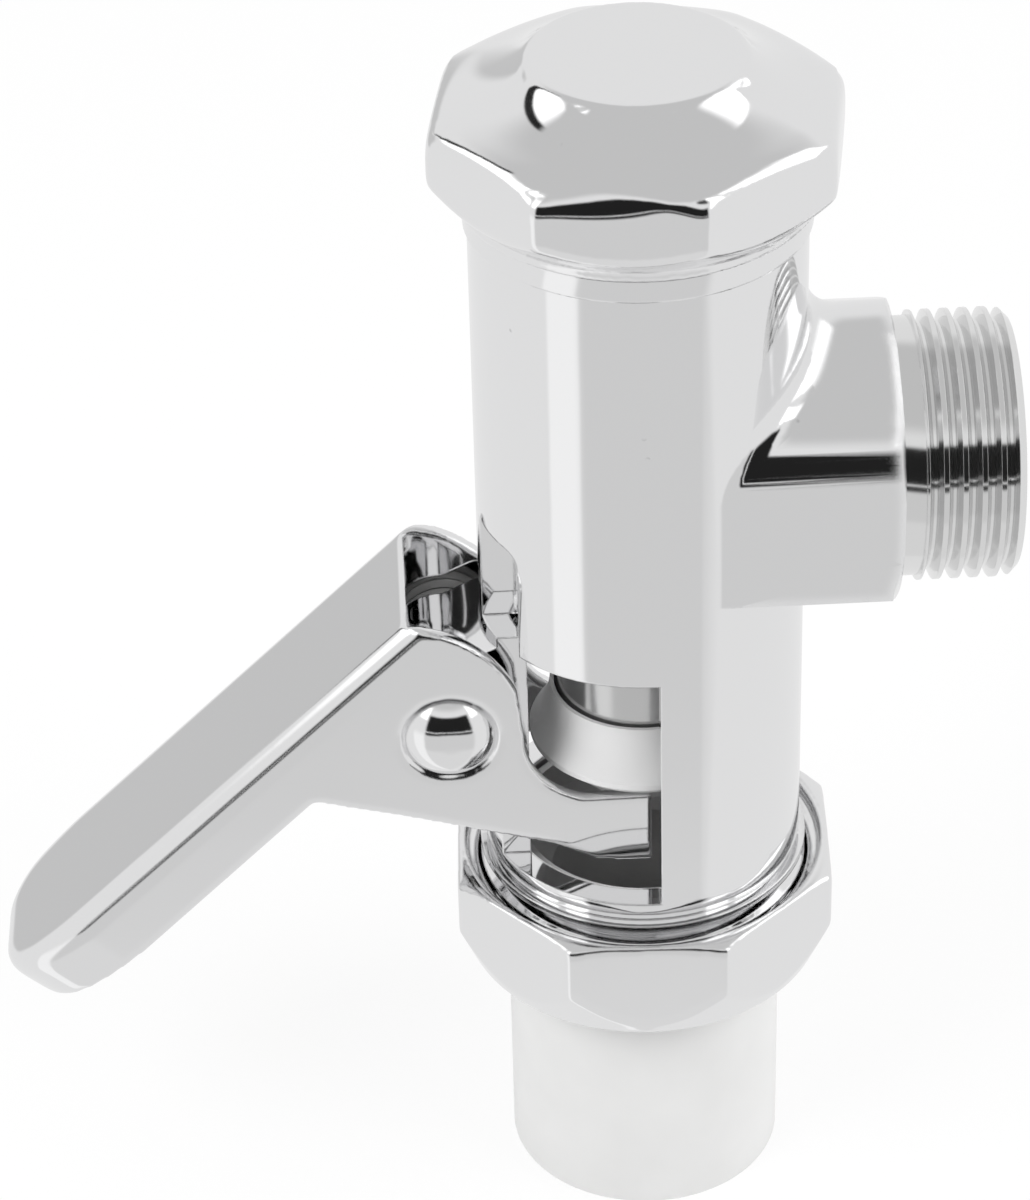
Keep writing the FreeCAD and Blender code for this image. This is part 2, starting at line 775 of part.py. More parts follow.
def spring_cap():
    revolve(new_body("spring_cap"), [
        ("spring_cap_bore", "core_top - spring_cap_stud"),
        ("pilot_chamber_radius - fit_clearance", "core_top - spring_cap_stud"),
        ("pilot_chamber_radius - fit_clearance", "core_top"),
        ("spring_cap_radius", "core_top"),
        ("spring_cap_radius", "spring_cap_top"),
        ("spring_cap_vent", "spring_cap_top"),
        ("spring_cap_vent", "spring_cap_top - spring_cap_plate"),
        ("spring_cap_bore", "spring_cap_top - spring_cap_plate"),
    ])


# A coil spring of round wire, in half turns that each tilt by the pitch and join with one tangent, clear by a named
# gap of the faces that it works between.
def coil(label, radius, wire, turns, foot, top):
    pitch = f"( {top} - {foot.replace('+', '-')} - {wire} - spring_gap * 2 ) / {turns}"
    halves = []
    for step in range(round(2 * size[turns])):
        half = doc.addObject("Part::Torus", f"{label}_half")
        half.Angle3 = 180
        half.setExpression("Radius1", bound(f"sqrt( {radius} ^ 2 + ( {pitch} / 4 ) ^ 2 )"))
        half.setExpression("Radius2", bound(f"{wire} / 2"))
        half.setExpression("Placement.Base.z", bound(f"{pitch} / 4 * {2 * step + 1}"))
        half.setExpression("Placement.Rotation.Yaw", f"180 * {step % 2}")
        half.setExpression("Placement.Rotation.Pitch", bound(f"atan( {pitch} / 4 / {radius} )"))
        halves.append(half)
    spring = doc.addObject("Part::MultiFuse", label)
    spring.Label = label
    spring.Shapes = halves
    place(spring, up=f"inlet_height + {foot} + spring_gap + {wire} / 2")


def pilot_spring():
    coil("pilot_spring", "pilot_spring_radius", "pilot_spring_wire", "pilot_spring_turns",
         SEAL_TOP + " + pilot_head", "spring_cap_top - spring_cap_plate")


def closing_spring():
    coil("closing_spring", "closing_spring_radius", "closing_spring_wire", "closing_spring_turns",
         HEAD_TOP + " + cup_floor + retainer_height", "cap_ceiling")


# The plastic sleeve that the lever lifts: a flared cup round the nozzle, and a bridged hub under the stem.
def lifting_sleeve():
    body = new_body("lifting_sleeve")
    revolve(body, [
        ("sleeve_bore", "- sleeve_top"),
        ("sleeve_bore", "- sleeve_floor"),
        ("sleeve_tube_bore", "- sleeve_floor"),
        ("sleeve_tube_bore", "- sleeve_tube_end"),
        ("sleeve_tube_radius", "- sleeve_tube_end"),
        ("sleeve_tube_radius", "- sleeve_bottom"),
        ("sleeve_bottom_radius", "- sleeve_bottom"),
        ("sleeve_flare_radius", "- sleeve_flare - sleeve_edge"),
        ("sleeve_flare_radius", "- sleeve_flare", "sleeve_flare_curve", "left"),
        ("sleeve_top_radius", "- sleeve_top"),
    ])
    arm = rectangle(new_sketch(body, "XY_Plane", "- sleeve_tube_end"),
                    "0", "- sleeve_bridge / 2", "sleeve_tube_bore + sleeve_edge", "sleeve_bridge / 2")
    bridge = pad(body, arm, "sleeve_tube_end - stem_end - stem_gap")
    around(body, [bridge], 4)
    pad(body, disc(new_sketch(body, "XY_Plane", "- sleeve_tube_end"), "0", "0", "sleeve_hub"),
        "sleeve_tube_end - stem_end - stem_gap")


# The lever, pressed from sheet: a sloping grip, two cheeks round the lug, and a fork under the sleeve.
def lever():
    body = new_body("lever")
    side = outline(new_sketch(body, "XZ_Plane"), [
        ("- web_end", "- web_end_drop", "shoulder_round", "left"),
        ("- shoulder_reach", "- shoulder_drop"),
        ("- neck_reach", "- neck_drop", "neck_round", "right"),
        ("- valley_reach", "- valley_drop"),
        ("fork_reach", "- fork_top"),
        ("fork_reach", "- fork_bottom"),
        ("- heel_reach", "- heel_drop"),
        ("- arm_reach", "- arm_drop"),
        ("- cheek_reach", "- cheek_drop"),
        ("- crook_reach", "- crook_drop"),
        ("- grip_reach", "- grip_drop"),
        ("- tip_low_reach", "- tip_drop - tip_depth"),
        ("- tip_low_reach - tip_nose", "- tip_drop"),
    ])
    pad(body, side, "lever_half * 2", "Symmetric")
    round_edges(body, "tip_round", tip_corner)
    round_edges(body, "ridge_round", ridge)
    hollow = outline(new_sketch(body, "XZ_Plane"), [
        ("- web_end", "- hollow_top"),
        ("fork_reach + lever_sheet", "- hollow_top"),
        ("fork_reach + lever_sheet", "- tip_drop - hollow_depth"),
        ("- tip_low_reach - tip_nose + tip_wall + hollow_depth", "- tip_drop + tip_wall - hollow_depth"),
        ("- tip_low_reach - tip_nose + tip_wall + lever_sheet * slope_cosine",
         "- tip_drop + tip_wall - lever_sheet * slope_cosine"),
        ("- web_end", "- web_end_drop - lever_sheet / slope_cosine"),
    ])
    pocket(body, hollow, "lever_half * 2 - lever_sheet * 2", "Symmetric")
    for offset, back in (("lever_half", False), ("- lever_half", True)):
        face = new_sketch(body, "XZ_Plane", offset)
        seat = disc(face, "- pivot_reach", "- pivot_drop", "rivet_seat_radius")
        pocket(body, seat, "rivet_seat_depth", back=back)
    hole = disc(new_sketch(body, "XZ_Plane"), "- pivot_reach", "- pivot_drop", "rivet_radius")
    pocket(body, hole, "lever_half * 2", "Symmetric")


def ridge(edge):
    return ends_at(edge, on_ridge) and edge.BoundBox.XMax < -size["web_end"]


def tip_corner(edge):
    beyond = ends_at(edge, lambda spot: spot.x < -size["tip_low_reach"] + 0.01)
    return beyond and edge.BoundBox.YLength < size["lever_half"]


# The ridges lie on the straight line from the end of the web to the tip.
def on_ridge(spot):
    tip = size["tip_low_reach"] + size["tip_nose"]
    slope = (size["tip_drop"] - size["web_end_drop"]) / (tip - size["web_end"])
    line = -size["tip_drop"] + slope * (spot.x + tip)
    return abs(spot.z - line) < size["lever_sheet"] / 2


def pivot_rivet():
    body = new_body("pivot_rivet", across="- pivot_reach", up="inlet_height - pivot_drop")
    seat = "lever_half - rivet_seat_depth"
    back = "- lever_half + rivet_seat_depth"
    revolve(body, [
        ("0", back + " - rivet_head_height"),
        ("rivet_flat", back + " - rivet_head_height", "rivet_dome", "right"),
        ("rivet_head_radius", back + " - rivet_rim"),
        ("rivet_head_radius", back),
        ("rivet_radius", back),
        ("rivet_radius", seat),
        ("rivet_head_radius", seat),
        ("rivet_head_radius", seat + " + rivet_rim", "rivet_dome", "right"),
        ("rivet_flat", seat + " + rivet_head_height"),
        ("0", seat + " + rivet_head_height"),
    ], plane="XY_Plane")


# Two thin washers on the rivet, one each side of the lug.
def pivot_washers():
    body = new_body("pivot_washers", across="- pivot_reach", up="inlet_height - pivot_drop")
    sketch = new_sketch(body, "XY_Plane")
    near, far = "lug_half + pivot_washer_gap", "lever_half - lever_sheet - pivot_washer_gap"
    rectangle(sketch, "rivet_radius", near, "pivot_washer_radius", far)
    rectangle(sketch, "rivet_radius", "- lever_half + lever_sheet + pivot_washer_gap",
              "pivot_washer_radius", "- lug_half - pivot_washer_gap")
    washers = body.newObject("PartDesign::Revolution", "pivot_washers_turned")
    washers.Profile = sketch
    washers.ReferenceAxis = (sketch, ["V_Axis"])
    washers.Angle = 360


# The grey plastic funnel that lets air into the flush pipe and keeps its water from rising.
def air_break_insert():
    revolve(new_body("air_break_insert"), [
        ("insert_mouth", "- insert_top"),
        ("insert_radius", "- insert_top"),
        ("insert_radius", "- pipe_socket_top"),
        ("insert_flange_radius", "- pipe_socket_top"),
        ("insert_flange_radius", "- pipe_socket_top - insert_flange"),
        ("insert_shoulder", "- pipe_socket_top - insert_flange"),
        ("insert_throat + insert_wall", "- insert_neck"),
        ("insert_throat + insert_wall", "- insert_end"),
        ("insert_throat", "- insert_end"),
        ("insert_throat", "- insert_neck"),
        ("insert_mouth", "- pipe_socket_top"),
    ])


PIPE_TOP = "- pipe_socket_top - insert_flange"
PIPE_NECK = "pipe_radius - pipe_step"
SEAL_FOOT = "- body_end - ring_gap - pipe_seal_height"
RING_FOOT = SEAL_FOOT + " - ring_gap - slip_ring_height"


# The flush pipe is turned down a little from just under the nut upwards, where its seal and ring sit.
def flush_pipe_end():
    revolve(new_body("flush_pipe_end"), [
        ("pipe_radius - pipe_wall + pipe_edge", "- inlet_height"),
        ("pipe_radius", "- inlet_height"),
        ("pipe_radius", "- nut_bottom - nut_play"),
        (PIPE_NECK, "- nut_bottom - nut_play"),
        (PIPE_NECK, PIPE_TOP),
        ("pipe_radius - pipe_wall", PIPE_TOP),
        ("pipe_radius - pipe_wall", "- inlet_height + pipe_edge"),
    ])


def outlet_seal():
    ring("outlet_seal", PIPE_NECK, "pipe_seal_radius", SEAL_FOOT, "- body_end - ring_gap")


def slip_ring():
    ring("slip_ring", PIPE_NECK, "slip_ring_radius", RING_FOOT, SEAL_FOOT + " - ring_gap")


def union_nut():
    body = new_body("union_nut", turn="nut_turn")
    pad(body, polygon(new_sketch(body, "XY_Plane", "- nut_bottom"), 8, "nut_flats", "Horizontal"),
        "nut_bottom - nut_top")
    groove(body, [
        ("nut_top_radius", "- nut_top"),
        ("octagon_corner", "- nut_top - nut_top_chamfer"),
        ("octagon_corner", "- nut_top"),
    ])
    groove(body, [
        ("nut_bottom_radius", "- nut_bottom"),
        ("octagon_corner", "- nut_bottom + nut_bottom_chamfer"),
        ("octagon_corner", "- nut_bottom"),
    ])
    groove(body, [
        ("0", "- nut_top"),
        ("nut_mouth_radius", "- nut_top"),
        ("nut_mouth_radius", "- nut_top - nut_mouth_depth"),
        ("outlet_thread_radius + nut_clearance", "- nut_top - nut_mouth_depth"),
        ("outlet_thread_radius + nut_clearance", RING_FOOT + " - nut_play"),
        ("nut_hole", RING_FOOT + " - nut_play"),
        ("nut_hole", "- nut_bottom"),
        ("0", "- nut_bottom"),
    ])


for build in (valve_body, cap, cap_gasket, seat_gasket, seat_nozzle, main_piston, seat_washer, guide_cage,
              piston_cup, cup_retainer, bleed_jet, pilot_valve, pilot_seal, pilot_spring, spring_cap,
              closing_spring, lifting_sleeve, lever, pivot_rivet, pivot_washers, air_break_insert,
              flush_pipe_end, outlet_seal, slip_ring, union_nut):
    build()
doc.recompute()

faults = [item.Label for item in doc.Objects if "Invalid" in item.State or "Error" in item.State]
faults += [part.Label for part in parts if part.Shape.isNull() or not part.Shape.isValid()]
if faults:
    raise RuntimeError(f"These objects failed: {faults}")

os.makedirs("parts", exist_ok=True)
for part in parts:
    part.Shape.exportStep(f"parts/{part.Label}.step")
    box = part.Shape.BoundBox
    print(f"{part.Label}: {len(part.Shape.Solids)} solid, {part.Shape.Volume:.1f} cubic mm")
    print(f"  X {box.XMin:.2f} {box.XMax:.2f}, Y {box.YMin:.2f} {box.YMax:.2f}, "
          f"Z {box.ZMin:.2f} {box.ZMax:.2f}")
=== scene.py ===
import json
import math

import bpy
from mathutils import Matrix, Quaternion, Vector

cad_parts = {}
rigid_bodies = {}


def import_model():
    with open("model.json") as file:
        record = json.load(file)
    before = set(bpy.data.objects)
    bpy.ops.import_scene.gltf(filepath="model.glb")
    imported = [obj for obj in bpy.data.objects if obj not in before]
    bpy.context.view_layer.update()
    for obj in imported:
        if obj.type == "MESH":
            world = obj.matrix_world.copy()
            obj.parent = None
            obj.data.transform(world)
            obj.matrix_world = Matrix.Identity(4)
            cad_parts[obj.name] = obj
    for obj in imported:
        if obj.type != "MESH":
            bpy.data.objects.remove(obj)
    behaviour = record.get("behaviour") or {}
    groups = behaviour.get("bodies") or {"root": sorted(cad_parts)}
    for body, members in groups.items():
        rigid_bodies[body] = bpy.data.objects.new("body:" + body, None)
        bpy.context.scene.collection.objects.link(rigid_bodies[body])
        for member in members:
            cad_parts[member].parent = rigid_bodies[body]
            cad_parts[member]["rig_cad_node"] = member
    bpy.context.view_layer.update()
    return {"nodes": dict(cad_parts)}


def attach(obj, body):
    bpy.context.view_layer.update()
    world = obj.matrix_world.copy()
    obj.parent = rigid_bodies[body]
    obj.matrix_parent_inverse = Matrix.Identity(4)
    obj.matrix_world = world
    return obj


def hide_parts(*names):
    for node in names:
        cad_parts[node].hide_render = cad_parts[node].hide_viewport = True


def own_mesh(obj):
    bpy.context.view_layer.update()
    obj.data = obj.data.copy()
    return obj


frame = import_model()


# Studio. A pale floor in a white tent, with a dim ceiling, a split bright panel on each side and the dark gap that the
# camera looks in through. Polished chrome shows nothing but its surroundings, so these follow what the metal reflects.


class Value:
    """A socket of a node tree. Arithmetic on it adds Math nodes."""

    def __init__(self, shading, socket):
        self.shading = shading
        self.socket = socket

    def maths(self, operation, *others):
        node = self.shading.tree.nodes.new("ShaderNodeMath")
        node.operation = operation
        for socket, value in zip(node.inputs, (self, *others)):
            self.shading.feed(socket, value)
        return Value(self.shading, node.outputs[0])

    def __add__(self, other):
        return self.maths("ADD", other)

    def __radd__(self, other):
        return self.maths("ADD", other)

    def __sub__(self, other):
        return self.maths("SUBTRACT", other)

    def __rsub__(self, other):
        return self.shading.add("ShaderNodeMath", {"operation": "SUBTRACT"}, {0: other, 1: self})

    def __mul__(self, other):
        return self.maths("MULTIPLY", other)

    def __rmul__(self, other):
        return self.maths("MULTIPLY", other)

    def from_to(self, low, high):
        """0 below low, 1 above high, and smooth between them."""
        return self.shading.add("ShaderNodeMapRange", {"interpolation_type": "SMOOTHSTEP"},
                                {"Value": self, "From Min": low, "From Max": high})

    def within(self, low, high, soft):
        """1 between low and high, 0 outside them, with soft borders."""
        return self.from_to(low - soft, low + soft) * (1 - self.from_to(high - soft, high + soft))


class Shading:
    """A node tree, emptied first. add makes any node in it and gives one of its outputs."""

    def __init__(self, tree):
        self.tree = tree
        tree.nodes.clear()

    def feed(self, socket, value):
        if isinstance(value, Value):
            self.tree.links.new(value.socket, socket)
        else:
            socket.default_value = value

    def add(self, kind, settings=None, sockets=None, output=0):
        node = self.tree.nodes.new(kind)
        for name, value in (settings or {}).items():
            if name == "stops":
                for spare in list(node.color_ramp.elements)[1:]:
                    node.color_ramp.elements.remove(spare)
                node.color_ramp.elements[0].position = value[0][0]
                node.color_ramp.elements[0].color = value[0][1]
                for place, colour in value[1:]:
                    node.color_ramp.elements.new(place).color = colour
            else:
                setattr(node, name, value)
        for name, value in (sockets or {}).items():
            self.feed(node.inputs[name], value)
        return Value(self, node.outputs[output]) if len(node.outputs) else None


TENT_LEVEL, CEILING_LEVEL, PANEL_LEVEL = 0.86, 0.62, 1.7
# How far the low front, the foot and the back left are from the tent's level, and how dark the slit and the gap are.
LOW_FRONT, FOOT, BACK_LEFT, SLIT, GAP = 0.16, 0.09, 0.24, 0.97, 0.98
# Stretches of bearing in radians from the front, positive to the right, and of height as the z of a direction of
# length 1. Each has its two borders, and how soft they are or else none.
FRONT, BESIDE, BACK = (-0.78, 0.75, 0.08), (-1.19, -0.78, 0.03), (-2.95, -2.15, 0.1)
SLIT_WIDTH, GAP_WIDTH = (-2.24, -2.12, 0.015), (-0.75, 0.7, 0.05)
PANEL_WIDTHS = ((-2.1, -1.25, 0.03), (-1.12, -0.8, 0.03), (0.8, 1.12, 0.03), (1.25, 2.1, 0.03))
PANEL_HEIGHT, BACK_HEIGHT, SLIT_HEIGHT = (0.35, 0.78, 0.04), (-0.2, 0.22, 0.06), (0.22, 0.8, 0.02)
GAP_HEIGHT, CROSSBAR_HEIGHT = (-0.16, 0.5, 0.03), (-0.07, -0.04, 0.008)
FOOT_TOP, LOW_TOP, CEILING_START = (-0.67, -0.58), (-0.25, -0.05), (0.61, 0.8)

world = bpy.data.worlds.new("tent")
bpy.context.scene.world = world
world.use_nodes = True
tent = Shading(world.node_tree)
towards = tent.add("ShaderNodeTexCoord", output="Generated")
across, depth, height = (
    tent.add("ShaderNodeSeparateXYZ", sockets={"Vector": towards}, output=axis) for axis in ("X", "Y", "Z"))
bearing = across.maths("ARCTAN2", depth * -1)
low = 1 - height.from_to(*LOW_TOP)
level = TENT_LEVEL - low * bearing.within(*FRONT) * LOW_FRONT
level = level + low * bearing.within(*BESIDE) * LOW_FRONT
level = level - height.from_to(*CEILING_START) * (TENT_LEVEL - CEILING_LEVEL)
panels = sum(bearing.within(*width) for width in PANEL_WIDTHS)
level = level + panels * height.within(*PANEL_HEIGHT) * (PANEL_LEVEL - TENT_LEVEL)
level = level - bearing.within(*BACK) * height.within(*BACK_HEIGHT) * BACK_LEFT
level = level * (1 - bearing.within(*SLIT_WIDTH) * height.within(*SLIT_HEIGHT) * SLIT)
level = level + (1 - height.from_to(*FOOT_TOP)) * bearing.within(*FRONT) * FOOT
gap = bearing.within(*GAP_WIDTH) * height.within(*GAP_HEIGHT) * (1 - height.within(*CROSSBAR_HEIGHT))
level = level * (1 - gap * GAP)
seen = tent.add("ShaderNodeBackground", sockets={"Color": (1, 1, 1, 1), "Strength": 1})
lit = tent.add("ShaderNodeBackground", sockets={"Color": (1, 1, 1, 1), "Strength": level})
camera_ray = tent.add("ShaderNodeLightPath", output="Is Camera Ray")
backdrop = tent.add("ShaderNodeMixShader", sockets={0: camera_ray, 1: lit, 2: seen})
tent.add("ShaderNodeOutputWorld", sockets={"Surface": backdrop})

PAPER = (0.9, 0.9, 0.9, 1)
PAPER_GLOW = 0.85

bpy.ops.mesh.primitive_plane_add(size=3, location=(0, 0, 0))
floor = bpy.context.object
floor.name = "floor"
floor.visible_glossy = False
paper = bpy.data.materials.new("pale_paper")
paper.use_nodes = True
sheet = Shading(paper.node_tree)
matt = sheet.add("ShaderNodeBsdfDiffuse", sockets={"Color": PAPER})
glow = sheet.add("ShaderNodeEmission", sockets={"Color": (1, 1, 1, 1), "Strength": 1})
share = sheet.add("ShaderNodeLightPath", output="Is Camera Ray") * PAPER_GLOW
sheet.add("ShaderNodeOutputMaterial", sockets={
    "Surface": sheet.add("ShaderNodeMixShader", sockets={0: share, 1: matt, 2: glow})})
floor.data.materials.append(paper)

LAMPS = (("key", (-0.45, -0.35, 0.6), 2.2, 0.35), ("fill", (0.55, -0.3, 0.5), 1.6, 0.4))
LIT_SPOT = Vector((0, 0, 0.06))

for name, spot, power, size in LAMPS:
    lamp = bpy.data.lights.new(name, "AREA")
    lamp.energy = power
    lamp.size = size
    lamp_object = bpy.data.objects.new(name, lamp)
    bpy.context.scene.collection.objects.link(lamp_object)
    lamp_object.location = spot
    lamp_object.rotation_euler = (Vector(spot) - LIT_SPOT).to_track_quat("Z", "Y").to_euler()
    lamp_object.visible_glossy = False

# The photograph's viewing angle, as solved from the ellipses of the round parts.
AZIMUTH, ELEVATION, ROLL = math.radians(-1.776), math.radians(35.042), math.radians(1.609)
LOOKS_AT = Vector((-0.012441, 0, 0.068098))
DISTANCE, SENSOR_WIDTH, FOCAL_LENGTH = 0.426884, 36, 129.68

camera = bpy.data.cameras.new("camera")
camera.sensor_width = SENSOR_WIDTH
camera.lens = FOCAL_LENGTH
camera.clip_start = 0.01
camera_object = bpy.data.objects.new("camera", camera)
bpy.context.scene.collection.objects.link(camera_object)
back = Vector((math.sin(AZIMUTH) * math.cos(ELEVATION), -math.cos(AZIMUTH) * math.cos(ELEVATION),
               math.sin(ELEVATION)))
camera_object.location = LOOKS_AT + back * DISTANCE
camera_object.rotation_mode = "QUATERNION"
camera_object.rotation_quaternion = (-back).to_track_quat("-Z", "Y") @ Quaternion((0, 0, 1), -ROLL)
bpy.context.scene.camera = camera_object
bpy.context.scene.view_settings.view_transform = "Standard"


# Valve body. A brass casting, turned and threaded at both ends and at the inlet, then polished and chromed all over.
# Polishing leaves slow waves in the shine, faint rubbing marks round the tube and a few pits of the casting.


def joined_copy(node):
    """A copy of the CAD node's mesh with its loose faces joined."""
    bpy.ops.object.select_all(action="DESELECT")
    piece = frame["nodes"][node].copy()
    piece.data = piece.data.copy()
    piece.name = node + "_finished"
    piece.parent = None
    del piece["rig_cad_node"]
    bpy.context.scene.collection.objects.link(piece)
    piece.select_set(True)
    bpy.context.view_layer.objects.active = piece
    bpy.ops.object.mode_set(mode="EDIT")
    bpy.ops.mesh.select_all(action="SELECT")
    bpy.ops.mesh.remove_doubles(threshold=0.000002)
    bpy.ops.object.mode_set(mode="OBJECT")
    bpy.ops.mesh.customdata_custom_splitnormals_clear()
    return piece


def take_place(piece, node, body):
    """The piece stands for the CAD node and moves with its body."""
    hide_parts(node)
    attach(piece, body)
    return piece


def smooth_copy(node, body, angle=0.6):
    """The CAD node's shape, shaded smooth between its real edges."""
    piece = joined_copy(node)
    bpy.ops.object.shade_smooth_by_angle(angle=angle)
    weights = piece.modifiers.new("weights", "WEIGHTED_NORMAL")
    weights.keep_sharp = True
    weights.weight = 100
    bpy.ops.object.modifier_apply(modifier="weights")
    return take_place(piece, node, body)


def finish(piece, material):
    """The piece has this material and no other."""
    piece.data.materials.clear()
    piece.data.materials.append(material)


CHROME = (0.84, 0.84, 0.845)
THREAD_GREY = (0.80, 0.80, 0.80)
PIT_GREY = (0.25, 0.25, 0.25)
ALL_WAYS, ALONG, ROUND_TUBE, TURNED = (1, 1, 1), (1, 0.1, 1), (1, 1, 0.08), (0.05, 0.05, 1)
WAVE_SCALE, PATCH_SCALE, PIT_SCALE, MARK_SCALE = 90.0, 160.0, 260.0, 900.0
MARK_DEPTH = 0.0000006
PIT_SIZE, PITTED_PATCH, RUBBED = (0.04, 0.09), (0.62, 0.72), (0.55, 0.8)
PATCH_ROUGH, MARK_ROUGH, PIT_ROUGH = 0.04, 0.03, 0.3


def chrome(name, colour, rough, wave, rub=ALL_WAYS, pits=0.0, worn=0.0004):
    """Polished metal: a near mirror with slow polishing waves of height wave, rubbing marks that run as rub says,
    sparse pits, and edges worn round to the radius worn."""
    material = bpy.data.materials.new(name)
    material.use_nodes = True
    plate = Shading(material.node_tree)
    place = plate.add("ShaderNodeTexCoord", output="Object")
    slow = plate.add("ShaderNodeTexNoise", sockets={"Vector": place, "Scale": WAVE_SCALE, "Detail": 1.0})
    marks = plate.add("ShaderNodeTexNoise", sockets={
        "Vector": plate.add("ShaderNodeMapping", sockets={"Vector": place, "Scale": rub}),
        "Scale": MARK_SCALE, "Detail": 3.0})
    patch = plate.add("ShaderNodeTexNoise", sockets={"Vector": place, "Scale": PATCH_SCALE, "Detail": 4.0})
    cells = plate.add("ShaderNodeTexVoronoi", sockets={"Vector": place, "Scale": PIT_SCALE})
    pit = (1 - cells.from_to(*PIT_SIZE)) * patch.from_to(*PITTED_PATCH) * pits
    shade = plate.add("ShaderNodeMix", {"data_type": "RGBA"}, {
        0: pit, 6: (*colour, 1), 7: (*PIT_GREY, 1)}, output=2)
    edges = plate.add("ShaderNodeBevel", {"samples": 6}, {"Radius": worn})
    waves = plate.add("ShaderNodeBump", sockets={"Strength": 1.0, "Distance": wave, "Height": slow, "Normal": edges})
    scratches = plate.add("ShaderNodeBump", sockets={
        "Strength": 1.0, "Distance": MARK_DEPTH, "Height": marks, "Normal": waves})
    surface = plate.add("ShaderNodeBsdfPrincipled", sockets={
        "Base Color": shade, "Metallic": 1.0, "Normal": scratches,
        "Roughness": rough + patch * PATCH_ROUGH + marks.from_to(*RUBBED) * MARK_ROUGH + pit * PIT_ROUGH})
    plate.add("ShaderNodeOutputMaterial", sockets={"Surface": surface})
    return material


# The boss runs from BOSS_START to BOSS_FACE along the inlet, and the turned nipple follows it.
BOSS_START, BOSS_FACE = 0.0158, 0.0242
ON_BOSS, ON_NIPPLE = 1, 2

valve_body = smooth_copy("valve_body", "valve")
finish(valve_body, chrome("body_chrome", CHROME, rough=0.03, wave=0.00003, rub=ROUND_TUBE, pits=1.0, worn=0.0003))
valve_body.data.materials.append(chrome("boss_chrome", CHROME, rough=0.03, wave=0.00005, pits=0.6, worn=0.0018))
valve_body.data.materials.append(chrome("thread_chrome", THREAD_GREY, rough=0.08, wave=0.00001, worn=0.00008))
for face in valve_body.data.polygons:
    if face.center.x > BOSS_FACE:
        face.material_index = ON_NIPPLE
    elif face.center.x > BOSS_START:
        face.material_index = ON_BOSS


# Seat nozzle. Turned from brass and nickel plated, it screws down into the web of the body on a ring of red fibre. Its
# lower end shows through the windows, over the sleeve.


FIBRE = (0.35, 0.12, 0.07)
CLOUD_SCALE, CLOUD_START, CLOUD_END = 120.0, 0.3, 0.7
GRAIN_SCALE, GRAIN_DEPTH, GRAIN_ROUGH = 2500.0, 0.000004, 0.1


def plastic(name, colour, rough, cloud):
    """Moulded plastic, rubber or fibre: cloud is how much darker its colour drifts, over a fine matt grain."""
    material = bpy.data.materials.new(name)
    material.use_nodes = True
    resin = Shading(material.node_tree)
    place = resin.add("ShaderNodeTexCoord", output="Object")
    clouds = resin.add("ShaderNodeTexNoise", sockets={"Vector": place, "Scale": CLOUD_SCALE, "Detail": 2.0})
    grain = resin.add("ShaderNodeTexNoise", sockets={"Vector": place, "Scale": GRAIN_SCALE, "Detail": 2.0})
    darker = [part * (1 - cloud) for part in colour]
    stops = ((CLOUD_START, (*darker, 1)), (CLOUD_END, (*colour, 1)))
    shade = resin.add("ShaderNodeValToRGB", {"stops": stops}, {"Fac": clouds})
    skin = resin.add("ShaderNodeBump", sockets={"Strength": 0.5, "Distance": GRAIN_DEPTH, "Height": grain})
    surface = resin.add("ShaderNodeBsdfPrincipled", sockets={
        "Base Color": shade, "Normal": skin, "Roughness": rough + grain * GRAIN_ROUGH})
    resin.add("ShaderNodeOutputMaterial", sockets={"Surface": surface})
    return material


NICKEL = (0.62, 0.62, 0.62)

seat_nozzle = smooth_copy("seat_nozzle", "valve")
finish(seat_nozzle, chrome("nozzle_nickel", NICKEL, rough=0.16, wave=0.00001, rub=TURNED))
finish(frame["nodes"]["seat_gasket"], plastic("seat_fibre", FIBRE, rough=0.7, cloud=0.3))


# Main piston. Four turned brass pieces: the piston, the guide cage that clamps the black rubber seat washer under it,
# the retainer that holds the moulded rubber cup, and the bleed jet screwed through its flange.
BRASS, RUBBER = (0.80, 0.58, 0.25), (0.03, 0.03, 0.03)

for node in ("main_piston", "guide_cage", "cup_retainer", "bleed_jet"):
    finish(frame["nodes"][node], chrome(node + "_brass", BRASS, rough=0.2, wave=0.00001, rub=TURNED))
for node in ("seat_washer", "piston_cup"):
    finish(frame["nodes"][node], plastic(node + "_rubber", RUBBER, rough=0.6, cloud=0.2))


# Pilot valve. A turned brass spindle in the middle of the piston, with a rubber seal held down by a light steel spring
# under a screwed brass cap. The spring shortens as the sleeve pushes the spindle up.


STEEL = (0.6, 0.6, 0.58)


def spring_steel(node, body):
    """A coil of drawn steel wire, shaded smooth, finished in steel and given a mesh of its own."""
    coil = smooth_copy(node, body)
    finish(coil, chrome(node + "_steel", STEEL, rough=0.2, wave=0.00001))
    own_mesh(coil)


for node in ("pilot_valve", "spring_cap"):
    finish(frame["nodes"][node], chrome(node + "_brass", BRASS, rough=0.2, wave=0.00001, rub=TURNED))
finish(frame["nodes"]["pilot_seal"], plastic("pilot_seal_rubber", RUBBER, rough=0.6, cloud=0.2))
spring_steel("pilot_spring", "piston")


# Closing spring. Seven turns of steel wire between the piston and the cap, which bring the piston down again.
# The piston's whole stroke of 8 mm goes into it.
spring_steel("closing_spring", "valve")


# Cap. An eight-sided screwed cap, cast with eight hollow facets between soft ridges and a flat top, then polished
# hard, so that its edges are rounded and its ridges run out into the top.


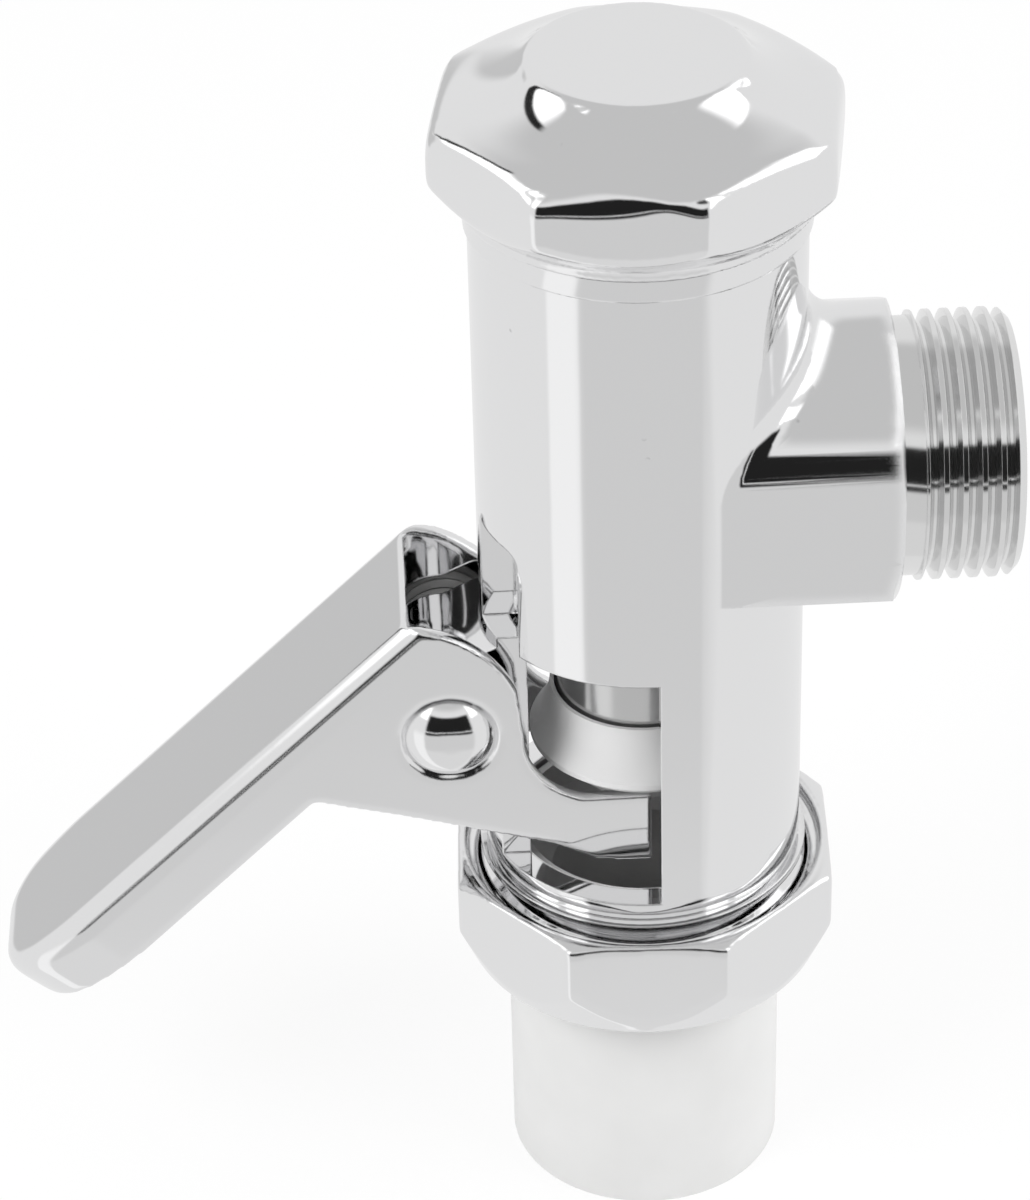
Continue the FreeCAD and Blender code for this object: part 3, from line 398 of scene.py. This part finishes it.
def polished_copy(node, body, grain, strokes, softness, shape=None):
    """The CAD node's shape, moved as shape(spot, normal) says, with its edges worn round by so many strokes of
    polishing, as far as softness(spot, normal) lets them from 0 to 1."""
    piece = joined_copy(node)
    skin = piece.modifiers.new("skin", "REMESH")
    skin.mode = "VOXEL"
    skin.voxel_size = grain
    skin.use_smooth_shade = True
    bpy.ops.object.modifier_apply(modifier="skin")
    spots = [(vertex.co.copy(), vertex.normal.copy()) for vertex in piece.data.vertices]
    soft = piece.vertex_groups.new(name="soft")
    for index, (spot, normal) in enumerate(spots):
        soft.add([index], softness(spot, normal), "REPLACE")
    if shape:
        for vertex, (spot, normal) in zip(piece.data.vertices, spots):
            vertex.co = shape(spot, normal)
    wear = piece.modifiers.new("wear", "SMOOTH")
    wear.factor = 0.5
    wear.iterations = strokes
    wear.vertex_group = "soft"
    bpy.ops.object.modifier_apply(modifier="wear")
    piece.vertex_groups.clear()
    return take_place(piece, node, body)


# Heights of the disc, of the rim and of where the flats start to roll over. The cove is an arc, given as radius and z.
CAP_TOP, CAP_RIM, ROLL_START = 0.1281, 0.1240, 0.1206
DISC_RADIUS, FLAT_RADIUS, BORE_RADIUS = 0.01025, 0.0188, 0.0175
COVE_CENTRE, COVE_RADIUS, COVE_END = Vector((0.01993, 0.13737)), 0.0134, 0.02
FLAT_TURN = math.radians(99)
DROOP, DROOP_START, DROOP_REACH = 0.0009, 0.0165, 0.0035
ANY_ROLL, FRONT_ROLL, FRONT_ROLL_PLACE, FRONT_ROLL_HALF = 0.0003, 0.0008, -0.16, 0.38
DISC_WEAR, SIDE_WEAR, DISC_MARGIN, DISC_DEPTH, RIM_DEPTH = 0.05, 0.5, 0.0008, 0.0006, 0.003
FACING_UP = 0.3


def cove(radius):
    """The height of the hollow that runs from the disc down to the rim."""
    reach = min(max(radius, DISC_RADIUS), COVE_END)
    return COVE_CENTRE.y - math.sqrt(COVE_RADIUS ** 2 - (COVE_CENTRE.x - reach) ** 2)


def cap_outside(spot, normal):
    """1 on the cap's flats and its top, 0 in its bore."""
    return 1.0 if math.hypot(spot.x, spot.y) > BORE_RADIUS or normal.z > FACING_UP else 0.0


def cap_shape(spot, normal):
    """Near the disc the hollows run into each other as if turned. The rim droops at its corners, and the flats roll
    over at their tops, the front one most."""
    radius = math.hypot(spot.x, spot.y)
    if spot.z < ROLL_START or radius < DISC_RADIUS or not cap_outside(spot, normal):
        return spot
    bearing = math.atan2(spot.y, spot.x) + FLAT_TURN
    turn = (bearing + math.pi / 8) % (math.pi / 4) - math.pi / 8
    share = min((radius - DISC_RADIUS) / (FLAT_RADIUS - DISC_RADIUS), 1)
    rise = min((spot.z - ROLL_START) / (CAP_RIM - ROLL_START), 1)
    sunk = (cove(radius) - cove(radius * math.cos(turn))) * (1 - share ** 3) * rise ** 4
    droop = DROOP * max((radius - DROOP_START) / DROOP_REACH, 0) ** 2 * rise ** 2
    most = FRONT_ROLL * max(0, 1 - ((bearing - FRONT_ROLL_PLACE) / FRONT_ROLL_HALF) ** 2) + ANY_ROLL
    inward = 1 - most * rise ** 2 * share ** 8 / radius
    return Vector((spot.x * inward, spot.y * inward, spot.z + sunk - droop))


def cap_wear(spot, normal):
    """The flats' top edges and the ridges are polished away, the disc's edge stays crisp."""
    radius = math.hypot(spot.x, spot.y)
    if spot.z > CAP_TOP - DISC_DEPTH and radius < DISC_RADIUS + DISC_MARGIN:
        return DISC_WEAR
    if spot.z > CAP_RIM - RIM_DEPTH:
        return cap_outside(spot, normal)
    return SIDE_WEAR * cap_outside(spot, normal)


cap = polished_copy("cap", "valve", grain=0.00026, strokes=90, softness=cap_wear, shape=cap_shape)
finish(cap, chrome("cap_chrome", CHROME, rough=0.03, wave=0.00004, pits=0.5))
finish(frame["nodes"]["cap_gasket"], plastic("cap_fibre", FIBRE, rough=0.7, cloud=0.3))


# Air break insert and lifting sleeve. Two rings of moulded plastic: the light grey insert stands in the bore of the
# tube, and the white sleeve slides over it and is lifted by the lever's fork.
INSERT_GREY, SLEEVE_WHITE = (0.7, 0.7, 0.7), (0.82, 0.82, 0.82)

air_break_insert = smooth_copy("air_break_insert", "valve")
finish(air_break_insert, plastic("insert_plastic", INSERT_GREY, rough=0.4, cloud=0.04))
lifting_sleeve = smooth_copy("lifting_sleeve", "sleeve")
finish(lifting_sleeve, plastic("sleeve_plastic", SLEEVE_WHITE, rough=0.4, cloud=0.04))


# Lever. One piece of brass sheet, pressed into a channel with rounded ridges, a blunt nose and two cheeks that end in
# the fork. It is polished along its length and chromed, and worn most at the nose, where the hand comes down on it.

# SLOPE is the direction up the grip from its nose.
NOSE, SLOPE = Vector((-0.0671, 0, 0.0285)), Vector((0.714, 0, 0.7))
NOSE_WEAR, EDGE_WEAR, WORN_LENGTH = 0.88, 0.12, 0.012
NOSE_PINCH, PINCH_LENGTH = 0.32, 0.013


def lever_wear(spot, normal):
    """Most at the nose, and a little along the edges."""
    near = math.hypot(spot.x - NOSE.x, spot.z - NOSE.z)
    return EDGE_WEAR + NOSE_WEAR * max(0, 1 - near / WORN_LENGTH)


def lever_shape(spot, normal):
    """The channel narrows to a rounded nose."""
    along = (spot.x - NOSE.x) * SLOPE.x + (spot.z - NOSE.z) * SLOPE.z
    narrow = 1 - NOSE_PINCH * max(0, 1 - max(along, 0) / PINCH_LENGTH) ** 2
    return Vector((spot.x, spot.y * narrow, spot.z))


lever = polished_copy("lever", "lever", grain=0.00028, strokes=90, softness=lever_wear, shape=lever_shape)
finish(lever, chrome("lever_chrome", CHROME, rough=0.04, wave=0.00003, rub=ALONG, pits=0.6))


# Pivot. A brass rivet with two domed heads, formed over the lever's cheeks and chromed with them. A white nylon washer
# inside each cheek keeps it off the body's lug.
NYLON = (0.8, 0.8, 0.78)

pivot_rivet = smooth_copy("pivot_rivet", "lever")
finish(pivot_rivet, chrome("rivet_chrome", CHROME, rough=0.05, wave=0.00003))
finish(frame["nodes"]["pivot_washers"], plastic("washer_nylon", NYLON, rough=0.4, cloud=0.04))


# Flush pipe and its seals. The end of a white plastic pipe, pushed up into the body's socket, with a rubber ring that
# seals it and a nylon ring that lets the nut turn against the rubber.
PIPE_WHITE = (0.78, 0.78, 0.775)

flush_pipe_end = smooth_copy("flush_pipe_end", "valve")
finish(flush_pipe_end, plastic("pipe_plastic", PIPE_WHITE, rough=0.4, cloud=0.04))
finish(frame["nodes"]["slip_ring"], plastic("slip_ring_nylon", NYLON, rough=0.4, cloud=0.04))
finish(frame["nodes"]["outlet_seal"], plastic("outlet_seal_rubber", RUBBER, rough=0.6, cloud=0.2))


# Union nut. An eight-sided brass nut, turned from bar with a long cone below, then polished and chromed. It turns on
# the body's outlet thread and clamps the flush pipe.


FACING_OUT = 0.15


def outside(spot, normal):
    """1 on faces that look outwards or up, 0 in bores and under rims."""
    outwards = (normal.x * spot.x + normal.y * spot.y) / max(math.hypot(spot.x, spot.y), 0.001)
    return 1.0 if outwards > FACING_OUT or normal.z > FACING_UP else 0.0


union_nut = polished_copy("union_nut", "nut", grain=0.00024, strokes=16, softness=outside)
finish(union_nut, chrome("nut_chrome", CHROME, rough=0.03, wave=0.00003, pits=0.5))
